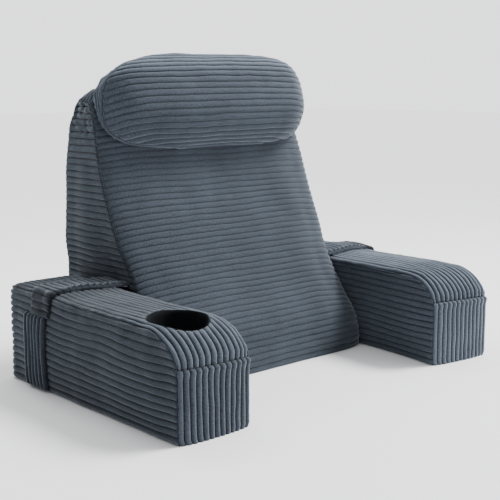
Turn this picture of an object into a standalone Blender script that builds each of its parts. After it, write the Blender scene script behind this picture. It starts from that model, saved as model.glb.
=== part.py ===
"""A reading pillow with arms, in wide-wale corduroy.

A filled wedge backrest stands between two filled arms, and a lozenge-shaped neck roll rests on its
upper front. A band of the same cloth runs from the backrest over each arm, and a second band comes up
the arm's outer side to meet it. The left arm has a lined cup pocket.

Metres, +Z up, the front towards -Y, and the origin on the floor at the middle of the whole pillow.
Left and right are as seen from the front.
"""

import math

import bmesh
import bpy
from mathutils import Vector

# The cloth. Each rib is drawn as a groove, a shoulder, another shoulder and the next groove.
RIB_PITCH = 0.011
RIB_DEPTH = 0.003
RIB_SHOULDER = 0.27  # share of the pitch from a groove to the shoulder on either side of it
GAP = 0.0004  # between neighbouring pieces
TRIM = 0.02  # how far a block runs on past the faces that trim it

# The arms.
OVERALL_WIDTH = 0.736
ARM_WIDTH = 0.136
ARM_HEIGHT = 0.160
ARM_REAR = 0.217  # y of the arms' back ends
ARM_FRONT = {"left": -0.246, "right": -0.233}  # the right arm sits a little further back
ARM_TOE_IN = {"left": 0.0, "right": 0.020}  # how far the arm's nose leans towards the middle
TOE_START = -0.055  # y where the arm leaves the backrest and may lean
TOE_CURVE = 1.4
FREE_STEPS = 6  # how many lengths the free part of the arm is drawn in
SIDE_CROWN = 0.003  # how far the free part's sides swell
NOSE_LENGTH = 0.080  # the arm's top comes down to its nose in a quarter ellipse
NOSE_DROP = 0.058
NOSE_STEPS = 8
NOSE_FOOT = 0.003  # the nose draws back by this much at the floor
NOSE_FOOT_HEIGHT = 0.030  # from this height down
SEAM_HEIGHT = {"left": 0.108, "right": 0.112}  # of the seam across the arm's nose
SEAM_DEPTH = 0.0035
SEAM_HALF_WIDTH = 0.005
ARM_CORNER = 0.018  # radius of the arm's upright back corners
ARM_CORNER_STEPS = 4
ARM_EDGE_FALL = 0.005  # the top falls away by this much at its side seams
ARM_EDGE = 0.030  # over this width
FOOT = 0.006  # the side panels draw in over this height above the floor
FOOT_DRAW = 0.6
SHOULDER = 0.014  # and again over this height under the top
SHOULDER_DRAW = 30.0

# The backrest, between the arms.
BACK_HALF_WIDTH = OVERALL_WIDTH / 2 - ARM_WIDTH - GAP
BACK_TOP = 0.506
BACK_PROFILE = [  # y, z down the middle: up the front, over the top, down the back
    (-0.047, -0.020),
    (-0.050, 0.030),
    (-0.037, 0.075),
    (-0.004, 0.119),
    (0.031, 0.170),
    (0.061, 0.228),
    (0.094, 0.297),
    (0.124, 0.383),
    (0.143, 0.445),
    (0.158, 0.475),
    (0.186, 0.488),
    (0.212, 0.475),
    (0.226, 0.440),
    (0.233, 0.380),
    (0.240, 0.280),
    (0.246, 0.180),
    (0.246, 0.080),
    (0.243, 0.030),
    (0.240, -0.020),
]
BACK_EDGE = [  # distance in from the side panel, how far the front falls back there
    (-0.004, 0.016),
    (0.016, 0.006),
    (0.070, 0.001),
]
REAR_FALL = 0.3  # the rear falls back by this share of it
CREST_FALL = 1.1  # and its crest sinks besides, by this share of it

# The neck roll, in its own frame: x across, -y out of its face, z up its face.
ROLL_PLACE = (0.006, 0.124, 0.464)
ROLL_LEAN = math.radians(20)
ROLL_HALF_WIDTH = 0.216
ROLL_HALF_HEIGHT = 0.084
ROLL_HALF_DEPTH = 0.050
ROLL_CORNER = 0.070
ROLL_CORNER_STEPS = 6
ROLL_FACE = [  # y, z down the middle of the face, from below to above
    (0.046, -0.097),
    (0.012, -0.083),
    (-0.020, -0.061),
    (-0.042, -0.028),
    (-0.046, 0.010),
    (-0.039, 0.046),
    (-0.018, 0.074),
    (0.020, 0.094),
]
ROLL_EDGE = [  # distance in from the end, how far the face falls back there
    (-0.006, 0.070),
    (0.004, 0.044),
    (0.020, 0.019),
    (0.060, 0.004),
]

# The cup pocket in the left arm, and its lining. The pocket's mouth lies over the start of the nose.
POCKET_PLACE = (-0.306, -0.168)
POCKET_RADIUS = 0.0455
POCKET_DEPTH = 0.092
POCKET_SIDES = 32
LINING_WALL = 0.002
LINING_RISE = 0.001  # how far the lining's rim stands above the arm's top

# The straps.
STRAP_THICKNESS = 0.0048
STRAP_WIDTH = 0.070
STRAP_SKEW = {"left": 0.026, "right": 0.003}  # how far it moves forwards on its way in to the backrest
STRAP_FRONT = {"left": 0.081, "right": 0.052}  # y of the band's front edge on the arm's outer side
STRAP_BEND = 0.010  # inner radius where the band turns down over the arm's edge
STRAP_BEND_STEPS = 6
STRAP_UP_SHIFT = 0.005  # how far the upright band lies behind the band from above
STRAP_UP_THICKNESS = 0.0070
STRAP_UP_RIBS = 6
STRAP_UP_TOP = 0.122
STRAP_UP_FOOT = 0.005
STRAP_UP_TAPER = 0.006  # its two ends are drawn thin over this height

SIDES = {"left": -1, "right": 1}
CORDUROY = (0.085, 0.112, 0.145)
STRAP_CLOTH = (0.075, 0.092, 0.120)
LINING = (0.012, 0.013, 0.016)
CLOTH_ROUGHNESS = 0.9


def clear_scene():
    for obj in list(bpy.data.objects):
        bpy.data.objects.remove(obj)


def new_collection(name):
    collection = bpy.data.collections.new(name)
    bpy.context.scene.collection.children.link(collection)
    return collection


def add_material(obj, colour):
    material = bpy.data.materials.new(obj.name + "_cloth")
    material.use_nodes = True
    shader = material.node_tree.nodes["Principled BSDF"]
    shader.inputs["Base Color"].default_value = (*colour, 1.0)
    shader.inputs["Roughness"].default_value = CLOTH_ROUGHNESS
    shader.inputs["Metallic"].default_value = 0.0
    obj.data.materials.clear()
    obj.data.materials.append(material)


# ---- ribs and outlines ----


def rib_stops(start, end, pitch=RIB_PITCH):
    """(place, depth below the shoulders) along a run of whole ribs that begins and ends in a groove."""
    count = round((end - start) / pitch)
    pitch = (end - start) / count
    stops = []
    for rib in range(count):
        groove = start + rib * pitch
        stops.append((groove, RIB_DEPTH))
        stops.append((groove + RIB_SHOULDER * pitch, 0.0))
        stops.append((groove + (1 - RIB_SHOULDER) * pitch, 0.0))
    stops.append((end, RIB_DEPTH))
    return stops


def smooth(points, steps=8):
    """A Catmull-Rom curve through the points, as short straight runs."""
    knots = [Vector(p) for p in points]
    knots = [2 * knots[0] - knots[1], *knots, 2 * knots[-1] - knots[-2]]
    line = []
    for a, b, c, d in zip(knots, knots[1:], knots[2:], knots[3:]):
        for step in range(steps):
            t = step / steps
            bend = (2 * a - 5 * b + 4 * c - d) * t**2 + (3 * b - a - 3 * c + d) * t**3
            line.append(b + ((c - a) * t + bend) / 2)
    line.append(knots[-2])
    return line


class Outline:
    """A line in a plane, measured along its length, with the outside on its left."""

    def __init__(self, points):
        self.points = [Vector(p) for p in points]
        self.along = [0.0]
        for a, b in zip(self.points, self.points[1:]):
            self.along.append(self.along[-1] + (b - a).length)
        self.length = self.along[-1]

    def at(self, distance):
        """(point, outward normal) at that distance along the line."""
        runs = len(self.points) - 1
        run = max(i for i in range(runs) if self.along[i] <= distance or i == 0)
        a, b = self.points[run], self.points[run + 1]
        direction = (b - a).normalized()
        return a + direction * (distance - self.along[run]), Vector((-direction.y, direction.x))

    def offset(self, distance, inwards):
        point, outwards = self.at(distance)
        return point - outwards * inwards


def mirrored_stations(half_width, edge):
    """(x, fall-back) across a face of that half width, from a table of one falling edge."""
    side = [(half_width - inwards, drop) for inwards, drop in edge]
    return [(-x, drop) for x, drop in side] + [(0.0, 0.0)] + [(x, drop) for x, drop in reversed(side)]


def arc(centre, radius, start, turn, steps):
    """Points on an arc, with its angles in degrees."""
    angles = [math.radians(start + turn * i / steps) for i in range(steps + 1)]
    return [(centre[0] + radius * math.cos(a), centre[1] + radius * math.sin(a)) for a in angles]


# ---- mesh building ----


def loft(name, rings, collection):
    """A closed solid: it skins rings of matching points, and closes both ends."""
    bm = bmesh.new()
    loops = [[bm.verts.new(p) for p in ring] for ring in rings]
    for low, high in zip(loops, loops[1:]):
        for i in range(len(low)):
            j = (i + 1) % len(low)
            bm.faces.new((low[i], low[j], high[j], high[i]))
    bm.faces.new(reversed(loops[0]))
    bm.faces.new(loops[-1])
    bmesh.ops.recalc_face_normals(bm, faces=bm.faces)
    mesh = bpy.data.meshes.new(name)
    bm.to_mesh(mesh)
    bm.free()
    obj = bpy.data.objects.new(name, mesh)
    collection.objects.link(obj)
    return obj


def inwards_everywhere(outwards):
    return -outwards


def backrest_fall(outwards):
    rearward, upward = (1 + outwards.x) / 2, max(0.0, outwards.y)
    sinking = Vector((0.0, -1.0)) * CREST_FALL * upward**2
    return sinking - outwards * (1 - (1 - REAR_FALL) * rearward)


def straight_back(_outwards):
    return Vector((1.0, 0.0))


def face_block(name, outline, stops, stations, collection, closing=(), falling=inwards_everywhere):
    """The block behind a sewn face.

    The face follows an outline in the YZ plane at the stops, and is drawn at each station across X. The
    stops give how far the cloth lies below the outline, and the stations how far it falls there besides,
    which way the falling function says. The closing points complete each ring behind the face.
    """
    rings = []
    for x, fall in stations:
        ring = []
        for distance, drop in stops:
            point, outwards = outline.at(distance)
            ring.append(point - outwards * drop + falling(outwards) * fall)
        rings.append([(x, y, z) for y, z in [*ring, *closing]])
    return loft(name, rings, collection)


def boolean(obj, operation, other):
    modifier = obj.modifiers.new(other.name, "BOOLEAN")
    modifier.operation = operation
    modifier.solver = "EXACT"
    modifier.object = other
    other.hide_render = True
    other.display_type = "WIRE"


# ---- the backrest ----


def back_block(name, raised, collection):
    """The backrest's long strip: front, top and back. Its ribs run across, or it is smooth where raised."""
    outline = Outline(smooth(BACK_PROFILE))
    stops = rib_stops(0.0, outline.length)
    if raised:
        stops = [(distance, -raised) for distance, _ in stops]
    stations = mirrored_stations(BACK_HALF_WIDTH, BACK_EDGE)
    return face_block(name, outline, stops, stations, collection, falling=backrest_fall)


def make_backrest(parts, cutters):
    """The side panels' level ribs trim the ends of the strip, and the floor trims its foot."""
    backrest = back_block("backrest", 0.0, parts)
    front, back = BACK_PROFILE[0][0] - TRIM, BACK_PROFILE[-1][0] + TRIM
    rings = []
    for z, drop in rib_stops(0.0, BACK_TOP):
        x = BACK_HALF_WIDTH - drop
        rings.append([(-x, front, z), (x, front, z), (x, back, z), (-x, back, z)])
    boolean(backrest, "INTERSECT", loft("backrest_side_panels", rings, cutters))
    add_material(backrest, CORDUROY)


# ---- the arms ----


def free_part(side):
    """The y values at which the free part of the arm is drawn, from the backrest to the nose."""
    front = ARM_FRONT[side]
    return [TOE_START + (front - TOE_START) * i / FREE_STEPS for i in range(FREE_STEPS + 1)]


def arm_outline(side):
    """The arm's nose and top in the YZ plane, from below the floor to behind its back end."""
    front = ARM_FRONT[side]
    nose = []
    for step in range(NOSE_STEPS + 1):
        turn = math.radians(90 * step / NOSE_STEPS)
        y = front + NOSE_LENGTH * (1 - math.cos(turn))
        nose.append((y, ARM_HEIGHT - NOSE_DROP * (1 - math.sin(turn))))
    top = [(y, ARM_HEIGHT) for y in reversed(free_part(side)) if y > front + NOSE_LENGTH + RIB_PITCH]
    rear = (ARM_REAR + TRIM, ARM_HEIGHT)
    return Outline([(front + NOSE_FOOT, -TRIM), (front, NOSE_FOOT_HEIGHT), *nose, *top, rear])


def arm_stops(outline, seam_height):
    """Where the strip is drawn: at the outline's own corners, and at the seam across the nose."""
    below = max(i for i, point in enumerate(outline.points) if point.y < seam_height and point.x < 0)
    low, high = outline.points[below], outline.points[below + 1]
    seam = outline.along[below] + (high - low).length * (seam_height - low.y) / (high.y - low.y)
    stops = [(place, 0.0) for place in outline.along if abs(place - seam) > 1.2 * SEAM_HALF_WIDTH]
    stops += [(seam - SEAM_HALF_WIDTH, 0.0), (seam, SEAM_DEPTH), (seam + SEAM_HALF_WIDTH, 0.0)]
    return sorted(stops)


def arm_stations():
    """The lengthwise ribs across the strip, which falls away to its side seams and runs on past them."""
    half = ARM_WIDTH / 2
    stations = []
    for x, drop in rib_stops(-half, half):
        nearness = max(0.0, 1 - (half - abs(x)) / ARM_EDGE)
        stations.append((x, drop + ARM_EDGE_FALL * nearness**2))
    beyond, fall = half + TRIM, RIB_DEPTH + 2 * ARM_EDGE_FALL
    return [(-beyond, fall), *stations, (beyond, fall)]


def arm_plan(side, inset, crown):
    """The arm's plan, with round back corners, a crown on its free part, and running on past its nose."""
    half, rear = ARM_WIDTH / 2 - inset, ARM_REAR - inset
    corner = (half - ARM_CORNER, rear - ARM_CORNER)
    right = arc(corner, ARM_CORNER, 0, 90, ARM_CORNER_STEPS)
    left = arc((-corner[0], corner[1]), ARM_CORNER, 90, 90, ARM_CORNER_STEPS)
    free = []
    for i, y in enumerate(free_part(side)):
        share = i / FREE_STEPS
        free.append((half + 4 * crown * share * (1 - share), y))
    free.append((half, ARM_FRONT[side] - TRIM))
    return [*right, *left, *[(-x, y) for x, y in free], *reversed(free)]


def place_arm(obj, side):
    """Moves the arm to its side, and turns its free part towards the middle."""
    middle = SIDES[side] * (OVERALL_WIDTH - ARM_WIDTH) / 2
    reach = TOE_START - ARM_FRONT[side]
    for vertex in obj.data.vertices:
        free = max(0.0, TOE_START - vertex.co.y) / reach
        inwards = ARM_TOE_IN[side] * free**TOE_CURVE
        vertex.co.y -= SIDES[side] * vertex.co.x * inwards / reach
        vertex.co.x += middle - SIDES[side] * inwards


def make_arm(side, parts, cutters):
    """Nose and top are one strip with lengthwise ribs. The side and back panels' level ribs trim it."""
    outline = arm_outline(side)
    stops = arm_stops(outline, SEAM_HEIGHT[side])
    closing = [(ARM_REAR + TRIM, -TRIM)]
    arm = face_block("arm_" + side, outline, stops, arm_stations(), parts, closing)
    rings = []
    for z, drop in rib_stops(0.0, ARM_HEIGHT + RIB_PITCH / 2):
        foot = FOOT_DRAW * max(0.0, FOOT - z)
        shoulder = SHOULDER_DRAW * max(0.0, z - (ARM_HEIGHT - SHOULDER)) ** 2
        crown = 4 * SIDE_CROWN * z / ARM_HEIGHT * max(0.0, 1 - z / ARM_HEIGHT)
        rings.append([(x, y, z) for x, y in arm_plan(side, drop + foot + shoulder, crown)])
    panels = loft("arm_side_panels_" + side, rings, cutters)
    place_arm(arm, side)
    place_arm(panels, side)
    boolean(arm, "INTERSECT", panels)
    add_material(arm, CORDUROY)
    return arm


def make_pocket(arm, parts, cutters):
    """The cup pocket, and a turned lining whose rim follows the arm's top."""
    depth = POCKET_DEPTH + LINING_WALL + 2 * GAP
    bpy.ops.mesh.primitive_cylinder_add(
        vertices=POCKET_SIDES,
        radius=POCKET_RADIUS + GAP,
        depth=depth + TRIM,
        location=(*POCKET_PLACE, ARM_HEIGHT + (TRIM - depth) / 2),
    )
    hole = bpy.context.object
    hole.name = "cup_pocket_hole"
    for home in list(hole.users_collection):
        home.objects.unlink(hole)
    cutters.objects.link(hole)
    boolean(arm, "DIFFERENCE", hole)

    floor, inner = ARM_HEIGHT - POCKET_DEPTH, POCKET_RADIUS - LINING_WALL
    profile = [
        (0.0, floor),
        (inner, floor),
        (inner, ARM_HEIGHT + TRIM),
        (POCKET_RADIUS, ARM_HEIGHT + TRIM),
        (POCKET_RADIUS, floor - LINING_WALL),
        (0.0, floor - LINING_WALL),
    ]
    mesh = bpy.data.meshes.new("cup_lining")
    mesh.from_pydata([(r, 0.0, z) for r, z in profile], [(i, i + 1) for i in range(len(profile) - 1)], [])
    lining = bpy.data.objects.new("cup_lining", mesh)
    lining.location = (*POCKET_PLACE, 0.0)
    parts.objects.link(lining)
    turn = lining.modifiers.new("turn", "SCREW")
    turn.steps = turn.render_steps = POCKET_SIDES
    turn.use_merge_vertices = True
    turn.merge_threshold = 0.0001

    outline = arm_outline("left")
    stops = [(place, -LINING_RISE) for place in outline.along]
    stations = [(-ARM_WIDTH / 2, 0.0), (ARM_WIDTH / 2, 0.0)]
    top = face_block("lining_trim", outline, stops, stations, cutters, [(ARM_REAR + TRIM, -TRIM)])
    place_arm(top, "left")
    boolean(lining, "INTERSECT", top)
    add_material(lining, LINING)


# ---- the neck roll ----


def lean(obj):
    obj.location = ROLL_PLACE
    obj.rotation_euler.x = -ROLL_LEAN


def roll_edge(inset):
    """The rounded outline of the roll's face, in its XZ plane."""
    half_width, half_height = ROLL_HALF_WIDTH - inset, ROLL_HALF_HEIGHT - inset
    radius = ROLL_CORNER - inset
    outline = []
    for right, up, start in ((1, 1, 0), (-1, 1, 90), (-1, -1, 180), (1, -1, 270)):
        centre = (right * (half_width - radius), up * (half_height - radius))
        outline += arc(centre, radius, start, 90, ROLL_CORNER_STEPS)
    return outline


def make_neck_roll(parts, cutters):
    """A crowned face with ribs across it, trimmed by the ribbed edge band and pressed onto the backrest."""
    outline = Outline(smooth(ROLL_FACE))
    stops = rib_stops(0.0, outline.length)
    stations = mirrored_stations(ROLL_HALF_WIDTH, ROLL_EDGE)
    top, bottom = ROLL_FACE[-1][1], ROLL_FACE[0][1]
    behind = 2 * ROLL_HALF_DEPTH
    closing = [(behind, top), (behind, bottom)]
    roll = face_block("neck_roll", outline, stops, stations, parts, closing, straight_back)
    rings = []
    for y, drop in rib_stops(-ROLL_HALF_DEPTH, ROLL_HALF_DEPTH):
        rings.append([(x, y, z) for x, z in roll_edge(drop)])
    band = loft("neck_roll_band", rings, cutters)
    lean(roll)
    lean(band)
    boolean(roll, "INTERSECT", band)
    boolean(roll, "DIFFERENCE", back_block("backrest_clearance", 2 * GAP, cutters))
    add_material(roll, CORDUROY)


# ---- the straps ----


def make_strap_over(side, parts):
    """The band from the backrest over the arm's top and down its outer side, with its ribs across it."""
    inner = BACK_HALF_WIDTH + 1.5 * GAP
    outer = OVERALL_WIDTH / 2 + GAP
    under = ARM_HEIGHT + GAP
    bend = arc((outer - STRAP_BEND, under - STRAP_BEND), STRAP_BEND, 90, -90, STRAP_BEND_STEPS)
    path = Outline([(inner, under), *bend, (outer, STRAP_UP_TOP + GAP)])
    rings = []
    for distance, drop in rib_stops(0.0, path.length):
        low = path.offset(distance, 0.0)
        high = path.offset(distance, drop - STRAP_THICKNESS)
        front = STRAP_FRONT[side] - STRAP_SKEW[side] * (1 - distance / path.length)
        back = front + STRAP_WIDTH
        corners = [(low, front), (high, front), (high, back), (low, back)]
        rings.append([(SIDES[side] * point.x, y, point.y) for point, y in corners])
    strap = loft("strap_over_" + side, rings, parts)
    add_material(strap, STRAP_CLOTH)


def make_strap_up(side, parts):
    """The band up the arm's outer side. Its ribs are upright, and both its ends are drawn thin."""
    wall = OVERALL_WIDTH / 2 + GAP
    front = STRAP_FRONT[side] + STRAP_UP_SHIFT
    ribs = rib_stops(front, front + STRAP_WIDTH, STRAP_WIDTH / STRAP_UP_RIBS)
    levels = [
        (STRAP_UP_FOOT, 0.5),
        (STRAP_UP_FOOT + STRAP_UP_TAPER, 1.0),
        (STRAP_UP_TOP - STRAP_UP_TAPER, 1.0),
        (STRAP_UP_TOP, 0.75),
    ]
    rings = []
    for z, fullness in levels:
        face = [(wall + (STRAP_UP_THICKNESS - drop) * fullness, y) for y, drop in ribs]
        ring = [*face, (wall, ribs[-1][0]), (wall, ribs[0][0])]
        rings.append([(SIDES[side] * x, y, z) for x, y in ring])
    strap = loft("strap_up_" + side, rings, parts)
    add_material(strap, STRAP_CLOTH)


def main():
    clear_scene()
    parts = new_collection("reading_pillow")
    cutters = new_collection("cutters")
    make_backrest(parts, cutters)
    arms = {side: make_arm(side, parts, cutters) for side in SIDES}
    make_pocket(arms["left"], parts, cutters)
    make_neck_roll(parts, cutters)
    for side in SIDES:
        make_strap_over(side, parts)
        make_strap_up(side, parts)


main()
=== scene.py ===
"""The looks of a reading pillow with arms, in plush wide-wale corduroy.

Each cushion is swelled as smooth cloth first. Its sewn panels are then laid on that form as grids of
ribs and stitched to each other along their seams. What stands on the floor is closed under its foot.

Metres, +Z up, the front towards -Y. Left and right are as seen from the front.
"""

import itertools
import math

import bmesh
import bpy
import numpy as np
from mathutils import Matrix, Vector
from mathutils.bvhtree import BVHTree


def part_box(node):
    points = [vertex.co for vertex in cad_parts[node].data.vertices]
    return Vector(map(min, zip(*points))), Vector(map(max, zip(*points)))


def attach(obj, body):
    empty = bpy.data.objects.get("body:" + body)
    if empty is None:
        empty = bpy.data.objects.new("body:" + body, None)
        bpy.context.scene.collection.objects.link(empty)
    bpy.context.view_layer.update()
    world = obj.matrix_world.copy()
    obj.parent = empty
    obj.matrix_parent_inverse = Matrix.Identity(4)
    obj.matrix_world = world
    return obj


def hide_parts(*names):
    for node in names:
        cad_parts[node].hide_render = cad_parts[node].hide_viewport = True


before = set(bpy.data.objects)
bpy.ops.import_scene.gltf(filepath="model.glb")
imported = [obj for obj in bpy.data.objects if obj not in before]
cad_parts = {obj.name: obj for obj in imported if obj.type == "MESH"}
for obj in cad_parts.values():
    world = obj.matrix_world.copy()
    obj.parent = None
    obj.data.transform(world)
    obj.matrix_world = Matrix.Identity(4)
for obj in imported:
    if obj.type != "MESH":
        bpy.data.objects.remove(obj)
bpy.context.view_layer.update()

# The camera, fitted to the photograph's square frame.
CAMERA_TARGET = (-0.0344, -0.0206, 0.2087)
CAMERA_AZIMUTH = math.radians(-42.01)
CAMERA_ELEVATION = math.radians(9.47)
CAMERA_DISTANCE = 1.7448
CAMERA_LENS = 73.70  # mm, on a 36 mm sensor

# The cloth. A rib number counts ribs across a panel, and its fraction is the place on that rib.
RIB_PITCH = 0.011
RIB_STEPS = (0.0, 0.05, 0.13, 0.28, 0.5, 0.72, 0.87, 0.95)
FULL_DEPTH = 0.0048  # a groove this deep gets the darkest painted shade
RIB_FILL = 0.93  # the rib's share of the pitch; the rest is the groove's floor
RIB_SQUARENESS = 2.1
KNOB = 0.0048  # a rib rounds off over this length at a seam
PROUD_LENGTH = 0.006
SEAM_DEPTH = 0.0010
SEAM_WIDTH = 0.0030
END_STEPS = (0.0, 0.0007, 0.0016, 0.0028, 0.0043, 0.0062, 0.0090, 0.0130)  # finer near a rib's ends
END_ROOM = 2.4  # a rib shorter than this many times the end steps' reach has them squeezed
COARSE_SPACING = 2.2 * RIB_PITCH
COARSE_END_STEPS = (0.0, 0.008)
GAP = 0.0004
WELD = 2e-5  # points this close are one
SLIVER = 1e-6

# Unevenness. A layer of noise is its strength, the size of its lumps and its seed.
HASH_FACTORS = (73856093, 19349663, 83492791, 2654435761, 1274126177)
DRIFT_TOGETHER = (0.17, 0.085, 1)  # of the ribs sideways, in ribs
DRIFT_ALONE = (0.075, 0.024, 2)
DRIFT_STEP = 0.016  # in the noise, from one rib to the next, where they drift together
RIB_APART = 0.3  # in the noise, where each rib is uneven by itself
HELD_RIBS = 1.5  # this many ribs beside a panel's edges drift less
RIB_HEIGHTS = (0.10, 0.040, 3)
CLOTH_LUMPS = ((0.0012, 0.070, 4), (0.0006, 0.022, 5))

# Swelling. The form starts this far inside its panels, and no point ends further out than the cap.
VOXEL = 0.005
START_INSET = 0.003
SWELL_CAP = 0.004
SINK_CAP = SWELL_CAP / 10
SWELL_SMOOTHING = 60
NORMAL_SMOOTHING = 2
PRESSURE = 4.0
SWELL_FRAMES = 20
SOLE = 0.010  # the foot is held still up to this height

# The arms.
OVERALL_WIDTH = 0.736
ARM_WIDTH = 0.136
ARM_RIBS = 13
ARM_WRAP_RIBS = 14
ARM_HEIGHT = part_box("arm_left")[1].z
ARM_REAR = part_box("arm_left")[1].y
ARM_FRONT = {"left": -0.246, "right": -0.233}
ARM_TOE_IN = {"left": 0.0, "right": 0.020}
TOE_START = -0.055
TOE_CURVE = 1.4
SIDE_CROWN = 0.003
NOSE_LENGTH = 0.080
NOSE_DROP = 0.058
FRONT_BULGE = 0.004
NOSE_FOOT_HEIGHT = 0.030
SEAM_HEIGHT = {"left": 0.107, "right": 0.112}
ARM_CORNER = 0.018
ARM_EDGE = 0.030
ARM_EDGE_FALL = {"left": (0.005, 0.010), "right": (0.007, 0.005)}  # on top, at the -X and +X seams
FRONT_EDGE_FALL = 0.0025
REAR_ROUND = 0.009
REAR_RISE = 0.0040
REAR_RISE_REACH = (0.030, 0.060)
SEAM_TILT = 0.0030
FOOT = 0.006
FOOT_DRAW = 0.6
SHOULDER = 0.014
SHOULDER_DRAW = 30.0
PROUD_BELOW = 0.0022  # the seam across the nose
PROUD_ABOVE = -0.0028
TUCKS = ((0.0010, 0.012, 7), (0.0008, 0.030, 8))
TUCKS_SIDE = (-0.016, 0.012)  # where the tucks begin, from the side's plane and the top's
TUCKS_TOP = (-0.034, 0.012)
ARM_SEED = {"left": 10, "right": 20}

# How deep the arms' grooves are, and their painted light and shade: how much lighter or darker each
# panel's colour is painted, after how the light falls on it, which differs between the left arm and the
# right.
# Four numbers are for graded().
FRONT_DEPTH = {"left": 0.0052, "right": 0.0040}
FRONT_PAINTED_LIGHT = {"left": 1.05, "right": 1.50}
TOP_DEPTH = (0.0016, 0.0034, 0.085, 0.080)  # fuller towards the nose
TOP_PAINTED_LIGHT = {"left": (0.34, 0.90, 0.085, 0.080), "right": (1.30, 0.15, 0.085, 0.080)}
RIM_SHARE = (0.35, 0.65, 0.0, 0.014)  # of the top's depth, away from the pocket's rim
SIDE_DEPTH = 0.0031
SIDE_PAINTED_LIGHT = {"left": 0.62, "right": 0.94}

# The backrest.
BACK_HALF_WIDTH = OVERALL_WIDTH / 2 - ARM_WIDTH - GAP
BACK_PROFILE = [  # y, z down the middle: up the front, over the top, down the back
    (-0.0485, 0.000), (-0.050, 0.030), (-0.037, 0.075), (-0.004, 0.119), (0.031, 0.170),
    (0.061, 0.228), (0.094, 0.297), (0.124, 0.383), (0.143, 0.445), (0.158, 0.475),
    (0.186, 0.488), (0.212, 0.475), (0.226, 0.440), (0.233, 0.380), (0.240, 0.280),
    (0.246, 0.180), (0.246, 0.080), (0.243, 0.030), (0.2415, 0.000),
]
BACK_EDGE_FALL = 0.014
BACK_EDGE_REACH = 0.019
BACK_BULGE = 0.0065  # on each side, above the arms
BACK_BULGE_START = (0.172, 0.060)
BACK_BULGE_END = (0.330, 0.110)
CREST_FALL = 1.1
# Painted shade: the whole backrest's cloth colour is painted darker.
BACK_PAINTED_LIGHT = 0.76
BACK_STRIP_DEPTH = 0.0020
BACK_SIDE_DEPTH = 0.0048
CORNER_PLACE = (0.222, 0.185, 0.462)  # of the crumpled corner at +X
CORNER_REACH = 0.055
CORNER_SINK = 0.0020
CORNER_FOLDS = {
    -1: ((0.0030, 0.015, 5), (0.0026, 0.008, 8)),
    1: ((0.0030, 0.015, 7), (0.0026, 0.008, 10)),
}
DENT_PLACE = (0.232, 0.220, 0.470)
DENT_REACH = 0.036
DENT_DEPTH = 0.006

# The neck roll, in its own frame: x across, -y out of its face, z up its face.
ROLL_PLACE = (0.0, 0.124, 0.463)
ROLL_LEAN = math.radians(20)
ROLL_ENDS = (-0.2314, 0.231)
ROLL_HALF_HEIGHT = 0.084
ROLL_HALF_DEPTH = 0.050
ROLL_SQUARENESS = {"left": (3.15, 2.47), "right": (5.5, 5.5)}  # of the end's outline, below and above
ROLL_TILT = 0.012
ROLL_FACE = [  # y, z down the middle of the face, from below to above
    (0.046, -0.097), (0.012, -0.083), (-0.020, -0.061), (-0.042, -0.028),
    (-0.046, 0.010), (-0.039, 0.046), (-0.018, 0.074), (0.020, 0.094),
]
ROLL_EDGE_FALL = [  # height up the face, how far its left end bends back there, and its right end
    (-0.080, 0.0245, 0.039), (-0.065, 0.0380, 0.058), (-0.050, 0.0509, 0.070), (-0.033, 0.0572, 0.067),
    (-0.018, 0.0550, 0.062), (0.000, 0.0483, 0.060), (0.016, 0.0410, 0.060), (0.032, 0.0298, 0.060),
    (0.056, 0.0177, 0.060), (0.080, 0.0058, 0.060),
]
ROLL_BEND = (0.10, 0.09)  # only where the roll is wider than this to a side do its ends bend back
ROLL_END_BACK = 0.026
ROLL_WELT = 0.010
ROLL_EDGE_REACH = 0.020
ROLL_BAND_RIBS = 4
ROLL_CLEARANCE = 0.0014
ROLL_DEPTH = (0.0026, 0.0012, 0.480, 0.045)  # for graded(), by height, as the painted light is
# Painted light: the roll's face is painted lighter towards its top.
ROLL_PAINTED_LIGHT = (0.88, 0.80, 0.500, 0.035)
ROLL_TUCKS = ((0.0012, 0.011, 11), (0.0009, 0.006, 12))
ROLL_TUCKS_REACH = (0.175, 0.035)

# The cup pocket and its lining.
POCKET_PLACE = (-0.306, -0.168)
POCKET_RADIUS = 0.0455
POCKET_DEPTH = 0.092
POCKET_SIDES = 128
POCKET_CUT = 0.05  # the cut goes up by this much more than the pocket's depth
LINING_WALL = 0.002
LINING_GAP = 0.0002
LINING_SINK = 0.0012
LINING_FOLD = 0.0009
LINING_WRINKLES = (1.0, 0.011, 50)

# The straps.
STRAP_THICKNESS = 0.0048
STRAP_WIDTH = 0.070
STRAP_DROP_WIDTH = 0.057  # where it goes down the arm's outer side
STRAP_SKEW = {"left": 0.026, "right": 0.003}
STRAP_FRONT = {"left": 0.081, "right": 0.052}
STRAP_BEND = 0.012
STRAP_DROP_SHIFT = 0.003
STRAP_NARROWING = (-0.060, 0.030)  # from the band's end
STRAP_DROP_RIBS = 6.5  # what is folded ends this many ribs from there
STRAP_UP_SHIFT = 0.006
STRAP_UP_WIDTH = 0.063
STRAP_UP_THICKNESS = 0.0070
STRAP_UP_RIBS = 6
STRAP_UP_TOP = 0.122
STRAP_UP_FOOT = 0.005
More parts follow.
